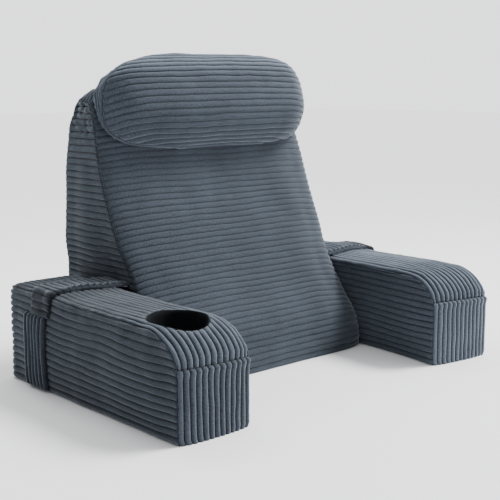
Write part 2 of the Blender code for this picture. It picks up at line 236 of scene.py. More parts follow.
# Painted light on the upright band of each strap.
STRAP_UP_PAINTED_LIGHT = 1.1
STRAP_OVER_FOOT = STRAP_UP_TOP - 0.002
STRAP_PAINTED_LIGHT = {"left": (0.85, 0.45), "right": (1.60, 0.45)}  # painted light and shade: lighter on top of the arm, darker down its side
STRAP_SPACING = 0.0035
STRAP_EDGE = 0.0040  # it rounds off over this length
STRAP_GROOVE = 0.30  # how thick it is in a groove, as a share
BEAD_ROW = ((0.0026, 0.0012), (0.0085, 0.0030))  # where the second row of beads starts and ends
BEAD_STEPS = ((0.0, 0.0022), (0.0028, 0.0024))
BEADS_REACH = 0.020
FRONT_FADE = (0.009, 0.008)
FRONT_SWELL = 0.9  # the folded edge is thicker by this share
FRONT_GROOVE = 0.34

CORDUROY = (0.046, 0.056, 0.071)
# Painted shade: the straps' cloth is a darker copy of the same corduroy.
SHADED_STRAP_CLOTH = (0.026, 0.032, 0.042)
# The light. The key is a soft sun from the front right and above.
KEY_FROM = (0.60, -0.22, 0.77)
KEY_POWER = 4.4
KEY_ANGLE = math.radians(20)
LAMPS = {  # place, power and size of the area lights
    "near key": ((1.36, -0.50, 1.60), 22.0, 0.6),
    "fill": ((1.30, -1.50, 0.55), 15.0, 0.9),
    "rear": ((-0.20, 0.90, 1.50), 8.0, 0.5),
}
LAMP_TARGET = (0.1, -0.1, 0.12)
AMBIENT = 0.38
OVERHEAD = 0.9
BACKDROP = 2.15
BACKDROP_DIRECTION = (0.669, 0.743, 0.0)

SIDES = {"left": -1, "right": 1}


# ---- smooth noise and lines ----


def smoothstep(value):
    value = np.clip(value, 0, 1)
    return value * value * (3 - 2 * value)


def rise(value, start, length):
    """0 up to the start, and 1 from that length beyond it."""
    return smoothstep((value - start) / length)


def graded(value, low, more, start, length):
    """Low up to the start, and so much more from that length beyond it."""
    return low + more * rise(value, start, length)


def hill(distance, reach):
    return np.exp(-((distance / reach) ** 2))


def rounded(value):
    """A quarter circle from 0 to 1."""
    return np.sqrt(1 - (1 - np.clip(value, 0, 1)) ** 2)


def noise(points, size, seed):
    """Value noise from -1 to 1, with lumps of that size."""
    cell = np.asarray(points, float) / size
    low = np.floor(cell).astype(np.int64)
    blend = smoothstep(cell - low)
    total = np.zeros(cell.shape[:-1])
    for corner in itertools.product((0, 1), repeat=3):
        x, y, z = np.moveaxis(low + corner, -1, 0)
        by_x, by_y, by_z, by_seed, last = HASH_FACTORS
        mixed = x * by_x ^ y * by_y ^ z * by_z ^ seed * by_seed
        mixed = (mixed ^ (mixed >> 13)) * last & 0xFFFFFFFF
        value = ((mixed ^ (mixed >> 16)) & 0xFFFF) / 0xFFFF
        weight = np.prod(np.where(corner, blend, 1 - blend), axis=-1)
        total += weight * value
    return 2 * total - 1


def relief(points, *layers):
    """The sum of some layers of noise."""
    return sum(strength * noise(points, size, seed) for strength, size, seed in layers)


def smooth(points, steps=10):
    """A Catmull-Rom curve through the points, as short straight runs."""
    knots = np.array(points, float)
    knots = np.vstack([2 * knots[0] - knots[1], knots, 2 * knots[-1] - knots[-2]])
    line = []
    for a, b, c, d in zip(knots, knots[1:], knots[2:], knots[3:]):
        for step in range(steps):
            t = step / steps
            bend = (2 * a - 5 * b + 4 * c - d) * t**2 + (3 * b - a - 3 * c + d) * t**3
            line.append(b + ((c - a) * t + bend) / 2)
    line.append(knots[-2])
    return line


def arc(centre, radius, start, turn, steps=12):
    """Points on an arc, with its angles in degrees."""
    angles = np.radians(np.linspace(start, start + turn, steps + 1))
    return [(centre[0] + radius * math.cos(a), centre[1] + radius * math.sin(a)) for a in angles]


class Line:
    """A line in a plane, measured along its length, with the outside on its left."""

    def __init__(self, points):
        self.points = np.array(points, float)
        steps = np.diff(self.points, axis=0)
        lengths = np.linalg.norm(steps, axis=1)
        self.along = np.concatenate([[0.0], np.cumsum(lengths)])
        self.length = self.along[-1]
        directions = steps / lengths[:, None]
        corners = np.vstack([directions[:1], (directions[1:] + directions[:-1]) / 2, directions[-1:]])
        self.corner_normals = np.stack([-corners[:, 1], corners[:, 0]], axis=1)

    def read(self, values, distance):
        return np.stack([np.interp(distance, self.along, column) for column in values.T], axis=-1)

    def at(self, distance):
        return self.read(self.points, distance)

    def outwards(self, distance):
        found = self.read(self.corner_normals, distance)
        return found / np.linalg.norm(found, axis=-1, keepdims=True)


def by_height(line, height):
    """The first coordinate of a rising line, at a height."""
    return np.interp(height, np.maximum.accumulate(line[:, 1]), line[:, 0])


def space(x, y, z):
    return np.stack(np.broadcast_arrays(x, y, z), axis=-1)


# ---- ribbed panels ----


def spread(lengths, middle, ends):
    """Distances along each row: fixed steps near both ends, and even ones between."""
    ends = np.array(ends)
    lengths = np.maximum(lengths, 1e-5)[:, None]
    shrink = np.minimum(1, lengths / (END_ROOM * ends[-1]))
    near = ends * shrink
    far = lengths - near[:, ::-1]
    shares = np.linspace(0, 1, middle + 2)[1:-1]
    between = near[:, -1:] + (far[:, :1] - near[:, -1:]) * shares
    return np.concatenate([near, between, far], axis=1)


class Panel:
    """One cut of corduroy. Its place is a function of the rib number and of the share along the rib."""

    def __init__(
        self, place, ribs, *, spacing, seed, depth=0.0, painted_light=1.0,
        closed=False, sewn=(True,) * 4, proud=(0.0, 0.0), slant=0.0,
    ):
        self.place, self.ribs, self.spacing, self.seed, self.closed = place, ribs, spacing, seed, closed
        self.depth = depth  # of its grooves: a number, or a function of the places on it
        self.painted_light = painted_light  # painted light and shade on its cloth's colour, given in the same way
        self.sewn = sewn  # at the ribs' start, at their end, along the first rib, along the last
        self.proud = proud  # how far the ribs stand out near their start and their end
        self.slant = slant  # how much slower the outermost ribs round off, as their seam runs aslant

    def lay_out(self, steps, spacing, ends, drift):
        """(rib numbers of the rows, distances along each row, points)."""
        rows = np.append((np.arange(self.ribs)[:, None] + np.array(steps)).ravel(), self.ribs)
        run = self.place(*np.meshgrid(rows, np.linspace(0, 1, 25), indexing="ij"))
        lengths = np.linalg.norm(np.diff(run, axis=1), axis=2).sum(1)
        middle = int(lengths.max() / spacing)
        if self.closed:
            share = np.broadcast_to(np.linspace(0, 1, middle, endpoint=False), (len(rows), middle))
            along = share * lengths[:, None]
        else:
            along = spread(lengths, middle, ends)
            share = along / along[:, -1:]
        return rows, along, self.place(rows[:, None] + drift * self.wander(rows, along), share)

    def wander(self, rows, along):
        """Ribs drift sideways together, and each a little by itself."""
        held = np.minimum(1, np.minimum(rows, self.ribs - rows) / HELD_RIBS)[:, None]
        together = relief(space(along, rows[:, None] * DRIFT_STEP, self.seed), DRIFT_TOGETHER)
        alone = relief(space(along, np.round(rows)[:, None] * RIB_APART, self.seed), DRIFT_ALONE)
        return held * (together + alone)

    def coarse(self):
        return self.lay_out((0.0,), COARSE_SPACING, COARSE_END_STEPS, 0.0)[2]

    def fine(self):
        return self.lay_out(RIB_STEPS, self.spacing, END_STEPS, 1.0)

    def end_distance(self, along):
        """How far each point is from the nearest sewn end of its rib."""
        far = np.full(along.shape, 1.0)
        if self.sewn[0]:
            far = np.minimum(far, along)
        if self.sewn[1]:
            far = np.minimum(far, along[:, -1:] - along)
        return far

    def edge_distance(self, rows):
        far = np.full(rows.shape, 1.0)
        if self.sewn[2]:
            far = np.minimum(far, rows * RIB_PITCH)
        if self.sewn[3]:
            far = np.minimum(far, (self.ribs - rows) * RIB_PITCH)
        return far[:, None]

    def rib_height(self, rows, along):
        """0 in a groove and at a rib's very end, 1 on its crest."""
        across = np.minimum(1, np.abs(2 * (rows % 1) - 1) / RIB_FILL)
        section = np.sqrt(1 - across**RIB_SQUARENESS)[:, None]
        outermost = np.abs(2 * rows / self.ribs - 1) ** 5
        knob = KNOB * (1 + self.slant * outermost)[:, None]
        rounding = rounded(self.end_distance(along) / knob)
        own = space(along, np.floor(rows)[:, None] * RIB_APART, self.seed)
        return section * rounding * (1 + relief(own, RIB_HEIGHTS))

    def end_lift(self, along):
        from_end = along[:, -1:] - along
        lift = self.proud[0] * hill(along - KNOB, PROUD_LENGTH)
        return lift + self.proud[1] * hill(from_end - KNOB, PROUD_LENGTH)

    def seam_dip(self, rows, along):
        nearest = np.minimum(self.end_distance(along), self.edge_distance(rows))
        return SEAM_DEPTH * hill(nearest, SEAM_WIDTH)


# ---- building one closed mesh from its panels ----


def join(*runs):
    """One run of vertex numbers from several, without repeats."""
    line = np.concatenate(runs)
    return line[np.append(True, line[1:] != line[:-1])]


def around(grid):
    """The vertex numbers all round a grid."""
    return join(grid[:, 0], grid[-1], grid[::-1, -1], grid[0, ::-1])


def new_object(name, data):
    obj = bpy.data.objects.new(name, data)
    bpy.context.scene.collection.objects.link(obj)
    return obj


class Builder:
    """Points, with their places on the cloth, heights on a rib, painted light and shade, and the faces
    between them.
    """

    def __init__(self):
        self.blocks, self.faces, self.count = [], [], 0

    def add(self, points, rib, place, closed=False, painted_light=1.0):
        """A grid of points. It returns their numbers, in rows and columns."""
        size = points.shape[:2]
        numbers = self.count + np.arange(size[0] * size[1]).reshape(size)
        self.count += numbers.size
        rib, painted_light = (np.broadcast_to(value, size)[..., None] for value in (rib, painted_light))
        self.blocks.append(np.concatenate([points, place, rib, painted_light], axis=-1).reshape(-1, 8))
        right = np.roll(numbers, -1, axis=1) if closed else numbers[:, 1:]
        left = numbers if closed else numbers[:, :-1]
        quads = np.stack([left[:-1], right[:-1], right[1:], left[1:]], axis=-1)
        self.faces += quads.reshape(-1, 4).tolist()
        return numbers

    def stitch(self, one, other):
        """Fills the seam between two runs of vertices that lie side by side."""
        points = np.concatenate(self.blocks)[:, :3]
        a, b = points[one], points[other]
        i = j = 0
        while i < len(one) - 1 or j < len(other) - 1:
            ahead = np.linalg.norm(a[i + 1] - b[j]) if i < len(one) - 1 else math.inf
            beside = np.linalg.norm(a[i] - b[j + 1]) if j < len(other) - 1 else math.inf
            if ahead <= beside:
                self.faces.append([int(one[i]), int(one[i + 1]), int(other[j])])
                i += 1
            else:
                self.faces.append([int(one[i]), int(other[j + 1]), int(other[j])])
                j += 1

    def close(self, loop):
        self.faces.append([int(number) for number in loop])

    def make(self, name):
        points, place, rib, painted_light = np.split(np.concatenate(self.blocks), (3, 6, 7), axis=1)
        mesh = bpy.data.meshes.new(name)
        mesh.from_pydata(points.tolist(), [], self.faces)
        for kind, values in (("rib", rib), ("painted_light", painted_light)):
            attribute = mesh.attributes.new(kind, "FLOAT", "POINT")
            attribute.data.foreach_set("value", values.astype(np.float32).ravel())
        attribute = mesh.attributes.new("cloth_place", "FLOAT_VECTOR", "POINT")
        attribute.data.foreach_set("vector", place.astype(np.float32).ravel())
        bm = bmesh.new()
        bm.from_mesh(mesh)
        bmesh.ops.remove_doubles(bm, verts=bm.verts, dist=WELD)
        bmesh.ops.dissolve_degenerate(bm, edges=bm.edges, dist=SLIVER)
        bmesh.ops.triangulate(bm, faces=[f for f in bm.faces if len(f.verts) > 4])
        bmesh.ops.recalc_face_normals(bm, faces=bm.faces)
        bm.to_mesh(mesh)
        bm.free()
        mesh.shade_smooth()
        return new_object(name, mesh)


def vectors(items, name):
    found = np.empty(len(items) * 3, np.float32)
    items.foreach_get(name, found)
    return found.reshape(-1, 3).astype(float)


def coordinates(mesh):
    return vectors(mesh.vertices, "co")


def vertex_normals(mesh):
    return vectors(mesh.vertex_normals, "vector")


def corners(parts):
    """The vertex numbers of edges or faces."""
    return np.array([tuple(part.vertices) for part in parts])


def set_coordinates(mesh, points):
    mesh.vertices.foreach_set("co", np.asarray(points, np.float32).ravel())
    mesh.update()


# ---- the swelled form under the cloth ----


def evaluated(obj):
    return bpy.data.meshes.new_from_object(obj.evaluated_get(bpy.context.evaluated_depsgraph_get()))


def smoothed(values, edges, times):
    """Each vertex's value, averaged with its neighbours' so many times."""
    count = np.bincount(edges.ravel(), minlength=len(values))
    for _ in range(times):
        total = np.bincount(edges[:, 0], values[edges[:, 1]], len(values))
        total += np.bincount(edges[:, 1], values[edges[:, 0]], len(values))
        values = (values + total) / (1 + count)
    return values


def swell(obj):
    """Remeshes the form, draws it in a little, and blows it up again as cloth.

    It returns how far out each vertex came along its normal, up to the cap. Hardly any may sink.
    """
    remesh = obj.modifiers.new("remesh", "REMESH")
    remesh.mode = "VOXEL"
    remesh.voxel_size = VOXEL
    mesh = evaluated(obj)
    obj.modifiers.clear()
    obj.data = mesh
    rest, normals = coordinates(mesh), vertex_normals(mesh)
    above = smoothstep(rest[:, 2] / (2 * SOLE))
    start = rest - normals * (START_INSET * above)[:, None]
    set_coordinates(mesh, start)
    sole = obj.vertex_groups.new(name="sole")
    sole.add([int(i) for i in np.nonzero(rest[:, 2] < SOLE)[0]], 1.0, "REPLACE")
    cloth = obj.modifiers.new("swell", "CLOTH")
    cloth.settings.use_pressure = True
    cloth.settings.uniform_pressure_force = PRESSURE
    cloth.settings.effector_weights.gravity = 0.0
    cloth.settings.vertex_group_mass = "sole"
    cloth.point_cache.frame_start = 1
    cloth.point_cache.frame_end = SWELL_FRAMES
    scene = bpy.context.scene
    for number in range(1, SWELL_FRAMES + 1):
        scene.frame_set(number)
    swelled = evaluated(obj)
    outwards = ((coordinates(swelled) - rest) * normals).sum(1)
    bpy.data.meshes.remove(swelled)
    obj.modifiers.clear()
    scene.frame_set(1)
    set_coordinates(mesh, rest)
    outwards = np.clip(outwards, -SWELL_CAP, SWELL_CAP)
    outwards = smoothed(outwards, corners(mesh.edges), SWELL_SMOOTHING)
    return np.clip(outwards, -SINK_CAP, SWELL_CAP) * above


class Form:
    """A cushion's smooth form: how far it swells and which way it faces, at any place on it."""

    def __init__(self, obj):
        swelling = swell(obj)
        mesh = obj.data
        bm = bmesh.new()
        bm.from_mesh(mesh)
        bmesh.ops.triangulate(bm, faces=bm.faces)
        bm.to_mesh(mesh)
        bm.free()
        self.points = coordinates(mesh)
        self.triangles, edges = corners(mesh.polygons), corners(mesh.edges)
        normals = [smoothed(column, edges, NORMAL_SMOOTHING) for column in vertex_normals(mesh).T]
        self.facts = np.stack([*normals, swelling], axis=1)  # at each vertex
        self.tree = BVHTree.FromPolygons(self.points.tolist(), self.triangles.tolist())
        self.skin = obj
        bpy.context.scene.collection.objects.unlink(obj)

    def lay(self, points):
        """(the points as swelled, smooth normals there)."""
        shape = points.shape
        points = points.reshape(-1, 3)
        found = [self.tree.find_nearest(point) for point in points.tolist()]
        places = np.array([tuple(hit[0]) for hit in found])
        triangles = self.triangles[[hit[2] for hit in found]]
        a, b, c = (self.points[triangles[:, i]] for i in range(3))
        whole = np.linalg.norm(np.cross(b - a, c - a), axis=1)
        wa = np.linalg.norm(np.cross(b - places, c - places), axis=1)
        wb = np.linalg.norm(np.cross(c - places, a - places), axis=1)
        wc = np.maximum(whole - wa - wb, 0)
        facts = sum(w[:, None] * self.facts[triangles[:, i]] for i, w in enumerate((wa, wb, wc)))
        facts /= (wa + wb + wc)[:, None]
        normals = facts[:, :3] / np.linalg.norm(facts[:, :3], axis=1, keepdims=True)
        return (points + normals * facts[:, 3:]).reshape(shape), normals.reshape(shape)


def cover(builder, form, panel, shape_more):
    """Lays a panel's ribs on the form. It returns its vertex numbers."""
    rows, along, wanted = panel.fine()
    places, normals = form.lay(wanted)
    height = panel.rib_height(rows, along)
    depth = panel.depth(places) if callable(panel.depth) else panel.depth
    # The panel's painted light and shade, which makes its colour lighter or darker.
    painted_light = panel.painted_light(places) if callable(panel.painted_light) else panel.painted_light
    lift = -depth * (1 - height) - panel.seam_dip(rows, along) + panel.end_lift(along)
    lift = lift + relief(places, *CLOTH_LUMPS) + shape_more(places)
    points = places + normals * lift[..., None]
    settled = smoothstep(wanted[..., 2] / SOLE)
    points[..., 2] = wanted[..., 2] * (1 - settled) + points[..., 2] * settled
    points[..., 2] = np.maximum(points[..., 2], 0)
    place = space(along, rows[:, None] * RIB_PITCH, float(panel.seed))
    # The rib value drives painted shade: deeper grooves are painted darker, and crests get a painted
    # highlight.
    rib = 1 - (1 - height) * np.minimum(1, depth / FULL_DEPTH)
    return builder.add(points, rib, place, panel.closed, painted_light)


def sew(name, panels, stitch, shape_more):
    """(a cushion of that name, the form under its cloth)."""
    rough = Builder()
    grids = [panel.coarse() for panel in panels]
    stitch(rough, *[rough.add(grid, 0.0, grid, panel.closed) for grid, panel in zip(grids, panels)])
    form = Form(rough.make(name + "_form"))
    builder = Builder()
    stitch(builder, *[cover(builder, form, panel, shape_more) for panel in panels])
    return builder.make(name), form


# ---- the arms ----


def arm_rise(y, z):
    """The arm is a little fuller behind, under the strap."""
    return REAR_RISE * z / ARM_HEIGHT * rise(y, *REAR_RISE_REACH)


class Arm:
    """The shape of one arm, from its own middle line, before it moves to its side."""

    def __init__(self, side):
        self.side = side
        self.front = ARM_FRONT[side]
        self.half = ARM_WIDTH / 2
        nose = []
        for turn in np.radians(np.linspace(0, 90, 13)):
            y = self.front + NOSE_LENGTH * (1 - math.cos(turn))
            nose.append((y, ARM_HEIGHT - NOSE_DROP * (1 - math.sin(turn))))
        foot = [(self.front, 0.0), (self.front, NOSE_FOOT_HEIGHT)]
        self.outline = Line([*foot, *nose, (ARM_REAR, ARM_HEIGHT)])
        heights = self.outline.points[:, 1]
        self.seam = float(np.interp(SEAM_HEIGHT[side], heights[:-1], self.outline.along[:-1]))
        self.flanks = self.flank(1), self.flank(-1)
        right = arc((self.half - ARM_CORNER, ARM_REAR - ARM_CORNER), ARM_CORNER, 0, 90)
        left = arc((-self.half + ARM_CORNER, ARM_REAR - ARM_CORNER), ARM_CORNER, 90, 90)
        self.plan = Line([(self.half, self.front), *right, *left, (-self.half, self.front)])

    def edge_fall(self, x, y, upward):
        """How far the strip falls away at a side seam or the rear one: more on top than in front."""
        low, high = ARM_EDGE_FALL[self.side]
        top = low + (high - low) * (x / self.half + 1) / 2
        rear = REAR_ROUND * np.maximum(0, 1 - (ARM_REAR - y) / ARM_EDGE) ** 2
        return FRONT_EDGE_FALL + (top - FRONT_EDGE_FALL) * np.maximum(0, upward) + rear

    def flank(self, sign):
        """The side seam's own line in the YZ plane."""
        distance = np.linspace(0, self.outline.length, 240)
        line, outwards = self.outline.at(distance), self.outline.outwards(distance)
        fall = self.edge_fall(sign * self.half, line[:, 0], outwards[:, 1])
        line = line - outwards * fall[:, None]
        line[:, 1] = np.maximum(line[:, 1], 0)
        return line[line[:, 0] < ARM_REAR - ARM_EDGE]

    def draw_in(self, z):
        """How much narrower each side is at the foot and at the shoulder."""
        at_foot = FOOT_DRAW * np.maximum(0, FOOT - z)
        return at_foot + SHOULDER_DRAW * np.maximum(0, z - ARM_HEIGHT + SHOULDER) ** 2

    def put(self, x, y, z):
        middle = SIDES[self.side] * (OVERALL_WIDTH - ARM_WIDTH) / 2
        reach = TOE_START - self.front
        inwards = ARM_TOE_IN[self.side] * (np.maximum(0, TOE_START - y) / reach) ** TOE_CURVE
        y = y - SIDES[self.side] * x * inwards / reach
        return space(x + middle - SIDES[self.side] * inwards, y, z + arm_rise(y, z))

    def strip(self, number, distance):
        """The strip with lengthwise ribs, up the nose and along the top."""
        across = 2 * number / ARM_RIBS - 1
        point = self.outline.at(distance)
        side_near = np.maximum(0, 1 - self.half * (1 - np.abs(across)) / ARM_EDGE)
        rear_near = np.maximum(0, 1 - (ARM_REAR - point[..., 0]) / ARM_EDGE)
        near = np.maximum(side_near, rear_near)
        outwards = self.outline.outwards(distance)
        fall = self.edge_fall(across * self.half, point[..., 0], outwards[..., 1])
        edge_z = np.maximum(0, point[..., 1] - outwards[..., 1] * fall)
        x = across * (self.half - self.draw_in(edge_z))
        bulge = FRONT_BULGE * (1 - across**2) * np.maximum(0, -outwards[..., 0]) ** 2
        point = point + outwards * (bulge - fall * near**2)[..., None]
        return self.put(x, point[..., 0], np.maximum(point[..., 1], 0))

    def seam_at(self, number):
        return self.seam - SEAM_TILT * number / ARM_RIBS

    def lower(self, number, share):
        return self.strip(number, share * self.seam_at(number))

    def upper(self, number, share):
        """From the cross seam to the rear one, which goes round the arm's rear corners."""
        beyond = np.maximum(0, np.abs(2 * number / ARM_RIBS - 1) * self.half - self.half + ARM_CORNER)
        inset = ARM_CORNER - np.sqrt(np.maximum(ARM_CORNER**2 - beyond**2, 0))
        start = self.seam_at(number)
        return self.strip(number, start + share * (self.outline.length - inset - start))

    def wrap(self, number, share):
        """The side and back panels in one, with level ribs, from one side of the nose to the other."""
        up = number / ARM_WRAP_RIBS
        start, end = (by_height(line, up * line[:, 1].max()) - self.front for line in self.flanks)
        distance = start + share * (self.plan.length - end - start)
        point, outwards = self.plan.at(distance), -self.plan.outwards(distance)
        z = up * (ARM_HEIGHT - self.edge_fall(point[..., 0], point[..., 1], 1.0))
        free = np.clip((TOE_START - point[..., 1]) / (TOE_START - self.front), 0, 1)
        up_share = z / ARM_HEIGHT
        crown = 16 * SIDE_CROWN * free * (1 - free) * up_share * (1 - up_share)
        point = point + outwards * (crown - self.draw_in(z))[..., None]
        return self.put(point[..., 0], point[..., 1], z)


def stitch_arm(builder, lower, upper, wrap):
    builder.stitch(lower[:, -1], upper[:, 0])
    right = join(lower[-1], upper[-1])
    left = join(upper[0, ::-1], lower[0, ::-1])
    top = join(right, upper[::-1, -1], left)
    builder.stitch(join(wrap[:, 0], wrap[-1], wrap[::-1, -1]), top)
    builder.close(join(lower[:, 0], wrap[0]))


def top_depth(places):
    """The ribs are full over the nose, and brushed flatter along the top and round the pocket's rim."""
    from_rim = np.linalg.norm(places[..., :2] - np.array(POCKET_PLACE), axis=-1) - POCKET_RADIUS
    return graded(-places[..., 1], *TOP_DEPTH) * graded(from_rim, *RIM_SHARE)


def pucker_arm(places):
    """Small tucks in the cloth along the top edges of the sides."""
    from_middle = np.abs(np.abs(places[..., 0]) - (OVERALL_WIDTH - ARM_WIDTH) / 2)
    near = rise(from_middle - ARM_WIDTH / 2, *TUCKS_SIDE) * rise(places[..., 2] - ARM_HEIGHT, *TUCKS_TOP)
    return near * relief(places, *TUCKS)


def make_arm(side):
    arm = Arm(side)
    seed = ARM_SEED[side]
    panels = [
        Panel(
            arm.lower, ARM_RIBS, spacing=0.005, seed=seed + 1,
            depth=FRONT_DEPTH[side], painted_light=FRONT_PAINTED_LIGHT[side],
            sewn=(False, True, True, True), proud=(0.0, PROUD_BELOW),
        ),
        Panel(
            arm.upper, ARM_RIBS, spacing=0.005, seed=seed + 2, depth=top_depth,
            painted_light=lambda places: graded(-places[..., 1], *TOP_PAINTED_LIGHT[side]), proud=(PROUD_ABOVE, 0.0),
        ),
        Panel(
            arm.wrap, ARM_WRAP_RIBS, spacing=0.006, seed=seed + 3, depth=SIDE_DEPTH, painted_light=SIDE_PAINTED_LIGHT[side],
            sewn=(True, True, False, True),
        ),
    ]
    return sew("arm_cushion_" + side, panels, stitch_arm, pucker_arm)


# ---- the backrest ----


class Backrest:
    def __init__(self):
        self.profile = Line(smooth(BACK_PROFILE))
        self.ribs = round(self.profile.length / RIB_PITCH)
        edge = self.strip_at(np.linspace(0, self.profile.length, 400), BACK_EDGE_FALL)
        crest = int(np.argmax(edge[:, 1]))
        self.rising, self.falling, self.top = edge[: crest + 1], edge[crest:][::-1], edge[crest, 1]
        self.side_ribs = round(self.top / RIB_PITCH)

    def strip_at(self, distance, fall):
        point, outwards = self.profile.at(distance), self.profile.outwards(distance)
        fall = np.broadcast_to(fall, distance.shape)[..., None]
        upward = np.maximum(0, outwards[..., 1:])
        rearward = (1 + outwards[..., :1]) / 2 * (1 - upward)
        sinking = np.array([0.0, -1.0]) * CREST_FALL * upward**2
        point = point + (sinking - outwards * (1 - rearward)) * fall
        return np.maximum(point, [-1, 0])

    def half_width(self, z):
        above = rise(z, *BACK_BULGE_START) * (1 - rise(z, *BACK_BULGE_END))
        return BACK_HALF_WIDTH + BACK_BULGE * above

    def strip(self, number, share):
        """Up the front, over the top and down the back, with ribs across."""
        x = BACK_HALF_WIDTH * (2 * share - 1)
        fall = BACK_EDGE_FALL * np.exp(-(BACK_HALF_WIDTH - np.abs(x)) / BACK_EDGE_REACH)
        point = self.strip_at(number / self.ribs * self.profile.length, fall)
        x = self.half_width(point[..., 1]) * (2 * share - 1)
        return space(x, point[..., 0], point[..., 1])

    def side(self, sign):
        def place(number, share):
            z = number / self.side_ribs * self.top
            first, last = by_height(self.rising, z), by_height(self.falling, z)
            return space(sign * self.half_width(z), first + share * (last - first), z)

        return place


def stitch_backrest(builder, strip, left, right):
    for edge, side in ((strip[:, 0], left), (strip[:, -1], right)):
        builder.stitch(join(side[:, 0], side[-1], side[::-1, -1]), edge)
    builder.close(join(strip[0], right[0], strip[-1, ::-1], left[0, ::-1]))


def crumple(places):
    """The backrest's upper corners are the softest: folded, and dented behind."""
    lift = np.zeros(places.shape[:-1])
    for sign in (-1, 1):
        mirror = np.array([sign, 1, 1])
        away = np.linalg.norm(places - mirror * CORNER_PLACE, axis=-1)
        lift += (relief(places, *CORNER_FOLDS[sign]) - CORNER_SINK) * hill(away, CORNER_REACH)
        behind = np.linalg.norm(places - mirror * DENT_PLACE, axis=-1)
        lift -= DENT_DEPTH * hill(behind, DENT_REACH)
    return lift


def make_backrest():
    back = Backrest()
    side = dict(spacing=0.007, depth=BACK_SIDE_DEPTH, painted_light=BACK_PAINTED_LIGHT, sewn=(True, True, False, True))
    panels = [
        Panel(
            back.strip, back.ribs, spacing=0.008, seed=31, depth=BACK_STRIP_DEPTH, painted_light=BACK_PAINTED_LIGHT,
            sewn=(True, True, False, False),
        ),
        Panel(back.side(-1), back.side_ribs, seed=32, **side),
        Panel(back.side(1), back.side_ribs, seed=33, **side),
    ]
    return sew("backrest_cushion", panels, stitch_backrest, crumple)


# ---- the neck roll ----


class NeckRoll:
    def __init__(self):
        face = Line(smooth(ROLL_FACE))
        distance = np.linspace(0, face.length, 400)
        inside = distance[np.abs(face.at(distance)[:, 1]) <= ROLL_HALF_HEIGHT]
        self.face, self.low, self.high = face, inside[0], inside[-1]
        self.ribs = round((self.high - self.low) / RIB_PITCH)
        self.rear_ribs = round(2 * ROLL_HALF_HEIGHT / RIB_PITCH)
        turns = np.sin(np.radians(np.linspace(-90, 90, 121)))
        heights = ROLL_HALF_HEIGHT * np.sign(turns) * np.abs(turns) ** 0.6  # close at both corners
        left = [(self.end(-1, z), z) for z in heights]
        right = [(self.end(1, z), z) for z in heights[::-1]]
        self.outline = Line([*left, *right, left[0]])
        self.turn = Matrix.Translation(ROLL_PLACE) @ Matrix.Rotation(-ROLL_LEAN, 4, "X")

    def put(self, x, y, z):
        turn = np.array(self.turn)
        z = z - ROLL_TILT * np.maximum(0, -x)
        return space(x, y, z) @ turn[:3, :3].T + turn[:3, 3]

    def end(self, sign, z):
        """Where the face ends on that side, at a height on it."""
        below, above = ROLL_SQUARENESS["right" if sign > 0 else "left"]
        power = np.where(z > 0, above, below)
        left = np.maximum(0.04, 1 - np.abs(z / ROLL_HALF_HEIGHT) ** power)
        return ROLL_ENDS[int(sign > 0)] * left ** (1 / power)

    def outer(self, x, z):
        """0 in the middle of the roll, 1 at its ends."""
        end = np.where(x > 0, self.end(1, z), -self.end(-1, z))
        return rise(end, *ROLL_BEND) * np.exp(-(end - np.abs(x)) / ROLL_EDGE_REACH)

    def fall(self, x, z):
        """The face bends back towards both ends."""
        heights, left, right = np.array(ROLL_EDGE_FALL).T
        fall = np.where(x < 0, np.interp(z, heights, left), np.interp(z, heights, right))
        return fall * self.outer(x, z)

    def front(self, number, share):
        point = self.face.at(self.low + number / self.ribs * (self.high - self.low))
        x = (1 - share) * self.end(-1, point[..., 1]) + share * self.end(1, point[..., 1])
        return self.put(x, point[..., 0] + self.fall(x, point[..., 1]), point[..., 1])

    def band(self, number, share):
        point = self.outline.at(share * self.outline.length)
        x, z = point[..., 0], point[..., 1]
        heights = self.face.points
        seam = np.interp(z, heights[:, 1], heights[:, 0]) + self.fall(x, z)
        welt = 1 + ROLL_WELT * np.sin(math.pi * np.clip(number, 0, 1))
        return self.put(x * welt, seam + number / ROLL_BAND_RIBS * (self.back(x, z) - seam), z * welt)

    def back(self, x, z):
        return ROLL_HALF_DEPTH - self.outer(x, z) * (ROLL_HALF_DEPTH - ROLL_END_BACK) * (x < 0)

    def rear(self, number, share):
        z = ROLL_HALF_HEIGHT * (2 * number / self.rear_ribs - 1)
        x = (1 - share) * self.end(-1, z) + share * self.end(1, z)
        return self.put(x, self.back(x, z), z)


def stitch_roll(builder, face, band, rear):
    """The face and the rear are sewn to the band all round, and nothing is left open."""
    for grid, edge in ((face, band[0]), (rear, band[-1])):
        builder.stitch(around(grid), np.append(edge, edge[0]))


def subtract(obj, other):
    modifier = obj.modifiers.new("cut", "BOOLEAN")
    modifier.operation = "DIFFERENCE"
    modifier.solver = "MANIFOLD"
    modifier.object = other
    mesh = evaluated(obj)
    obj.modifiers.clear()
    obj.data = mesh
    bpy.data.objects.remove(other)


def grown(form, distance, name):
    """A copy of a form, a little larger, to cut a neighbour's clearance with."""
    mesh = form.skin.data.copy()
    outwards = form.facts[:, :3] * (form.facts[:, 3:] + distance)
    set_coordinates(mesh, form.points + outwards)
    return new_object(name, mesh)


def pucker_roll(places):
    """The ribs are gathered a little along the curved seam of the left end."""
    return rise(-places[..., 0], *ROLL_TUCKS_REACH) * relief(places, *ROLL_TUCKS)


